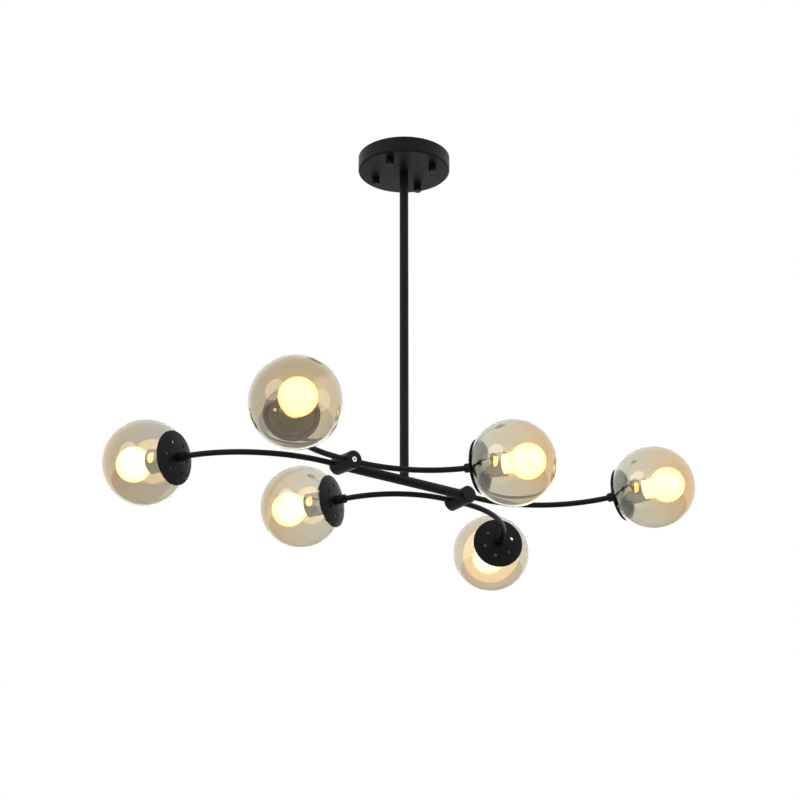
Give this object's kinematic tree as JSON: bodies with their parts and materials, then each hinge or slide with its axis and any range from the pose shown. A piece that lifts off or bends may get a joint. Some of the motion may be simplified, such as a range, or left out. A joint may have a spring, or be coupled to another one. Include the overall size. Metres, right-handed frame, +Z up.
{
  "type": "branch chandelier",
  "caption": "Black ceiling chandelier: round canopy, straight stem, cross bar with two cylindrical hubs, curved arms and tinted glass ball shades over opal ball bulbs.",
  "frame": {"origin": "centre of the ceiling face of the canopy and bracket", "axes": "+Z up to the ceiling, the chandelier hangs below; the stem runs down -Z; the bar's right half points 36.6 degrees from +X towards +Y; the picture looks along +Y"},
  "size_m": [0.833, 0.7682, 0.5776],
  "materials": {
    "black_metal": "satin black powder coat",
    "black_fixings": "satin black",
    "zinc_steel": "bright zinc",
    "cup_metal": "satin grey metal",
    "amber_glass": "clear champagne tint, polished",
    "opal_glass": "white opal",
    "brass": "plain rolled brass",
    "porcelain": "glazed",
    "terminal_plastic": "moulded nylon"
  },
  "bodies": {
    "canopy": {"canopy_pan": "black_metal", "ceiling_bracket": "zinc_steel", "bracket_studs": "zinc_steel", "canopy_knob_nuts": "black_fixings", "terminal_block": "terminal_plastic", "terminal_screws": "brass", "earth_screw": "brass"},
    "stem": {"stem_tube": "black_metal", "stem_nipple": "zinc_steel", "stem_lock_hardware": "zinc_steel", "cross_bar": "black_metal"},
    "left_branch": {"left_hub": "black_metal", "left_hub_screws": "zinc_steel", "left_outer_arm": "black_metal", "left_end_arm": "black_metal", "left_inner_arm": "black_metal", "left_arm_couplings": "black_metal", "left_outer_fitter": "black_metal", "left_end_fitter": "black_metal", "left_inner_fitter": "black_metal", "left_outer_socket_cup": "cup_metal", "left_end_socket_cup": "cup_metal", "left_inner_socket_cup": "cup_metal", "left_shade_rings": "cup_metal", "left_socket_cores": "porcelain", "left_socket_contacts": "brass"},
    "left_outer_globe": {"left_outer_globe": "amber_glass"},
    "left_outer_bulb": {"left_outer_bulb": "opal_glass", "left_outer_bulb_cap": "brass"},
    "left_end_globe": {"left_end_globe": "amber_glass"},
    "left_end_bulb": {"left_end_bulb": "opal_glass", "left_end_bulb_cap": "brass"},
    "left_inner_globe": {"left_inner_globe": "amber_glass"},
    "left_inner_bulb": {"left_inner_bulb": "opal_glass", "left_inner_bulb_cap": "brass"},
    "right_branch": {"right_hub": "black_metal", "right_hub_screws": "zinc_steel", "right_outer_arm": "black_metal", "right_end_arm": "black_metal", "right_inner_arm": "black_metal", "right_arm_couplings": "black_metal", "right_outer_fitter": "black_metal", "right_end_fitter": "black_metal", "right_inner_fitter": "black_metal", "right_outer_socket_cup": "cup_metal", "right_end_socket_cup": "cup_metal", "right_inner_socket_cup": "cup_metal", "right_shade_rings": "cup_metal", "right_socket_cores": "porcelain", "right_socket_contacts": "brass"},
    "right_outer_globe": {"right_outer_globe": "amber_glass"},
    "right_outer_bulb": {"right_outer_bulb": "opal_glass", "right_outer_bulb_cap": "brass"},
    "right_end_globe": {"right_end_globe": "amber_glass"},
    "right_end_bulb": {"right_end_bulb": "opal_glass", "right_end_bulb_cap": "brass"},
    "right_inner_globe": {"right_inner_globe": "amber_glass"},
    "right_inner_bulb": {"right_inner_bulb": "opal_glass", "right_inner_bulb_cap": "brass"}
  },
  "joints": [
    {"name": "stem_turn", "type": "hinge", "parent": "canopy", "child": "stem", "pos_m": [0, 0, -0.0232], "axis": [0, 0, 1], "range_deg": [-170, 170]},
    {"name": "left_branch_turn", "type": "hinge", "parent": "stem", "child": "left_branch", "pos_m": [-0.08863, -0.06582, -0.5095], "axis": [-0.8028, -0.5962, 0], "range_deg": [-75, 75]},
    {"name": "left_outer_globe_pull", "type": "slide", "parent": "left_branch", "child": "left_outer_globe", "axis": [-0.8584, 0.5113, 0.0419], "range_m": [0, 0.1]},
    {"name": "left_outer_bulb_unscrew", "type": "slide", "parent": "left_branch", "child": "left_outer_bulb", "axis": [-0.8584, 0.5113, 0.0419], "range_m": [0, 0.01]},
    {"name": "left_end_globe_pull", "type": "slide", "parent": "left_branch", "child": "left_end_globe", "axis": [0.1662, -0.9853, -0.0404], "range_m": [0, 0.1]},
    {"name": "left_end_bulb_unscrew", "type": "slide", "parent": "left_branch", "child": "left_end_bulb", "axis": [0.1662, -0.9853, -0.0404], "range_m": [0, 0.01]},
    {"name": "left_inner_globe_pull", "type": "slide", "parent": "left_branch", "child": "left_inner_globe", "axis": [0.9028, -0.4282, -0.0401], "range_m": [0, 0.1]},
    {"name": "left_inner_bulb_unscrew", "type": "slide", "parent": "left_branch", "child": "left_inner_bulb", "axis": [0.9028, -0.4282, -0.0401], "range_m": [0, 0.01]},
    {"name": "right_branch_turn", "type": "hinge", "parent": "stem", "child": "right_branch", "pos_m": [0.08863, 0.06582, -0.5095], "axis": [0.8028, 0.5962, 0], "range_deg": [-75, 75]},
    {"name": "right_outer_globe_pull", "type": "slide", "parent": "right_branch", "child": "right_outer_globe", "axis": [0.8584, -0.5113, 0.0419], "range_m": [0, 0.1]},
    {"name": "right_outer_bulb_unscrew", "type": "slide", "parent": "right_branch", "child": "right_outer_bulb", "axis": [0.8584, -0.5113, 0.0419], "range_m": [0, 0.01]},
    {"name": "right_end_globe_pull", "type": "slide", "parent": "right_branch", "child": "right_end_globe", "axis": [-0.1662, 0.9853, -0.0404], "range_m": [0, 0.1]},
    {"name": "right_end_bulb_unscrew", "type": "slide", "parent": "right_branch", "child": "right_end_bulb", "axis": [-0.1662, 0.9853, -0.0404], "range_m": [0, 0.01]},
    {"name": "right_inner_globe_pull", "type": "slide", "parent": "right_branch", "child": "right_inner_globe", "axis": [-0.9028, 0.4282, -0.0401], "range_m": [0, 0.1]},
    {"name": "right_inner_bulb_unscrew", "type": "slide", "parent": "right_branch", "child": "right_inner_bulb", "axis": [-0.9028, 0.4282, -0.0401], "range_m": [0, 0.01]}
  ]
}
